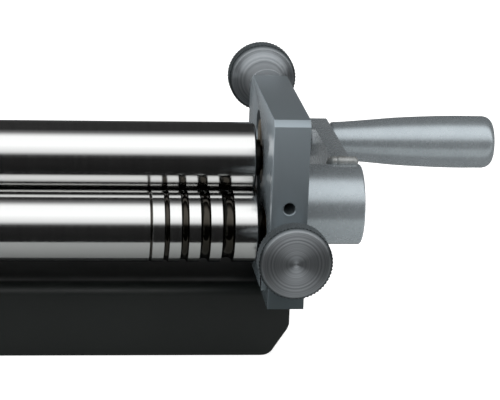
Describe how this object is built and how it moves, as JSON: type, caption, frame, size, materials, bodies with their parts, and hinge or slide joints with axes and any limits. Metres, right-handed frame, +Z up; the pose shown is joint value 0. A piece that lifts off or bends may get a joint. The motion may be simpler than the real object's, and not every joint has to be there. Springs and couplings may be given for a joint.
{
  "type": "slip roll",
  "caption": "Small three-roll bench bending rolls for sheet and wire, with adjusting knobs at both ends and a hand crank with a turning grip.",
  "frame": {"origin": "middle of the front foot edge of the base channel, on the bench surface", "axes": "+X along the rolls towards the crank end, +Y from the front (work side) to the back, +Z up"},
  "size_m": [0.4681, 0.1849, 0.1197],
  "materials": {
    "black_paint": "semi-gloss black enamel",
    "plate_steel": "ground and satin",
    "polished_steel": "ground and polished",
    "turned_steel": "fine turned",
    "satin_steel": "satin",
    "bronze": "machined bronze",
    "dark_screw": "black oxide",
    "bright_screw": "bright turned",
    "gear_steel": "machined"
  },
  "bodies": {
    "frame_body": {"base_channel": "black_paint", "base_screw_right_front": "dark_screw", "base_screw_right_back": "dark_screw", "base_screw_left_front": "dark_screw", "base_screw_left_back": "dark_screw", "end_plate_right": "plate_steel", "end_plate_left": "plate_steel", "set_screw_right": "dark_screw", "set_screw_left": "dark_screw", "drive_bush_right": "bronze", "drive_bush_left": "bronze", "block_keeper_right": "satin_steel", "block_keeper_left": "satin_steel", "keeper_screw_right_front": "dark_screw", "keeper_screw_right_back": "dark_screw", "keeper_screw_left_front": "dark_screw", "keeper_screw_left_back": "dark_screw", "idler_pin": "bright_screw", "idler_washer": "bright_screw", "gear_cover": "black_paint", "cover_screw_lower": "bright_screw", "cover_screw_upper": "bright_screw"},
    "upper_carriage": {"upper_block_right": "bronze", "upper_block_left": "bronze", "thrust_stud_right": "bright_screw", "thrust_stud_left": "bright_screw"},
    "upper_roll_body": {"upper_roll": "polished_steel"},
    "front_carriage": {"front_block_right": "bronze", "front_block_left": "bronze"},
    "front_roll_body": {"front_roll": "polished_steel", "front_gear": "gear_steel", "front_gear_nut": "bright_screw"},
    "front_knob_right_body": {"front_knob_right": "turned_steel", "front_screw_right": "bright_screw"},
    "front_knob_left_body": {"front_knob_left": "turned_steel", "front_screw_left": "bright_screw"},
    "plunger_right_body": {"rear_plunger_right": "bright_screw"},
    "plunger_left_body": {"rear_plunger_left": "bright_screw"},
    "rear_knob_right_body": {"rear_knob_right": "turned_steel", "rear_screw_right": "bright_screw"},
    "rear_knob_left_body": {"rear_knob_left": "turned_steel", "rear_screw_left": "bright_screw"},
    "crank_body": {"drive_roll": "polished_steel", "drive_gear": "gear_steel", "drive_gear_nut": "bright_screw", "crank_hub": "satin_steel", "crank_set_screw": "dark_screw", "crank_arm": "satin_steel", "handle_spindle": "bright_screw", "spindle_nut": "bright_screw"},
    "idler_body": {"idler_gear": "gear_steel"},
    "grip_body": {"handle_grip": "satin_steel"}
  },
  "joints": [
    {"name": "crank_turn", "type": "hinge", "parent": "frame_body", "child": "crank_body", "pos_m": [0, 0.0255, 0.0598], "axis": [1, 0, 0], "continuous": true},
    {"name": "idler_gear_turn", "type": "hinge", "parent": "frame_body", "child": "idler_body", "pos_m": [-0.175, 0.0085, 0.0598], "axis": [1, 0, 0], "continuous": true},
    {"name": "grip_turn", "type": "hinge", "parent": "crank_body", "child": "grip_body", "pos_m": [0.24, 0.1109, 0.066], "axis": [1, 0, 0], "continuous": true},
    {"name": "front_roll_gap", "type": "slide", "parent": "frame_body", "child": "front_carriage", "axis": [0, -1, 0], "range_m": [0, 0.002]},
    {"name": "front_roll_turn", "type": "hinge", "parent": "front_carriage", "child": "front_roll_body", "pos_m": [0, -0.0085, 0.0598], "axis": [1, 0, 0], "continuous": true},
    {"name": "front_knob_right_turn", "type": "hinge", "parent": "front_carriage", "child": "front_knob_right_body", "pos_m": [0.1605, -0.035, 0.0598], "axis": [0, -1, 0], "range_deg": [0, 576]},
    {"name": "front_knob_left_turn", "type": "hinge", "parent": "front_carriage", "child": "front_knob_left_body", "pos_m": [-0.1605, -0.035, 0.0598], "axis": [0, -1, 0], "range_deg": [0, 576]},
    {"name": "upper_roll_height", "type": "slide", "parent": "frame_body", "child": "upper_carriage", "axis": [0, 0.7071, 0.7071], "range_m": [0, 0.004]},
    {"name": "upper_roll_turn", "type": "hinge", "parent": "upper_carriage", "child": "upper_roll_body", "pos_m": [0, 0.0085, 0.085], "axis": [1, 0, 0], "continuous": true},
    {"name": "plunger_right_slide", "type": "slide", "parent": "frame_body", "child": "plunger_right_body", "axis": [0, 1, 0], "range_m": [0, 0.00566]},
    {"name": "plunger_left_slide", "type": "slide", "parent": "frame_body", "child": "plunger_left_body", "axis": [0, 1, 0], "range_m": [0, 0.00566]},
    {"name": "rear_knob_right_turn", "type": "hinge", "parent": "plunger_right_body", "child": "rear_knob_right_body", "pos_m": [0.1605, 0.0547, 0.1047], "axis": [0, 1, 0], "range_deg": [0, 1629.2]},
    {"name": "rear_knob_left_turn", "type": "hinge", "parent": "plunger_left_body", "child": "rear_knob_left_body", "pos_m": [-0.1605, 0.0547, 0.1047], "axis": [0, 1, 0], "range_deg": [0, 1629.2]}
  ],
  "couplings": [
    {"joint": "idler_gear_turn", "follows": "crank_turn", "ratio": -1.125},
    {"joint": "front_roll_turn", "follows": "crank_turn", "ratio": 1},
    {"joint": "front_knob_right_turn", "follows": "front_roll_gap", "rad_per_m": 5026.5},
    {"joint": "front_knob_left_turn", "follows": "front_roll_gap", "rad_per_m": 5026.5},
    {"joint": "plunger_right_slide", "follows": "upper_roll_height", "ratio": 1.4142},
    {"joint": "plunger_left_slide", "follows": "upper_roll_height", "ratio": 1.4142},
    {"joint": "rear_knob_right_turn", "follows": "upper_roll_height", "rad_per_m": 7108.6},
    {"joint": "rear_knob_left_turn", "follows": "upper_roll_height", "rad_per_m": 7108.6}
  ]
}
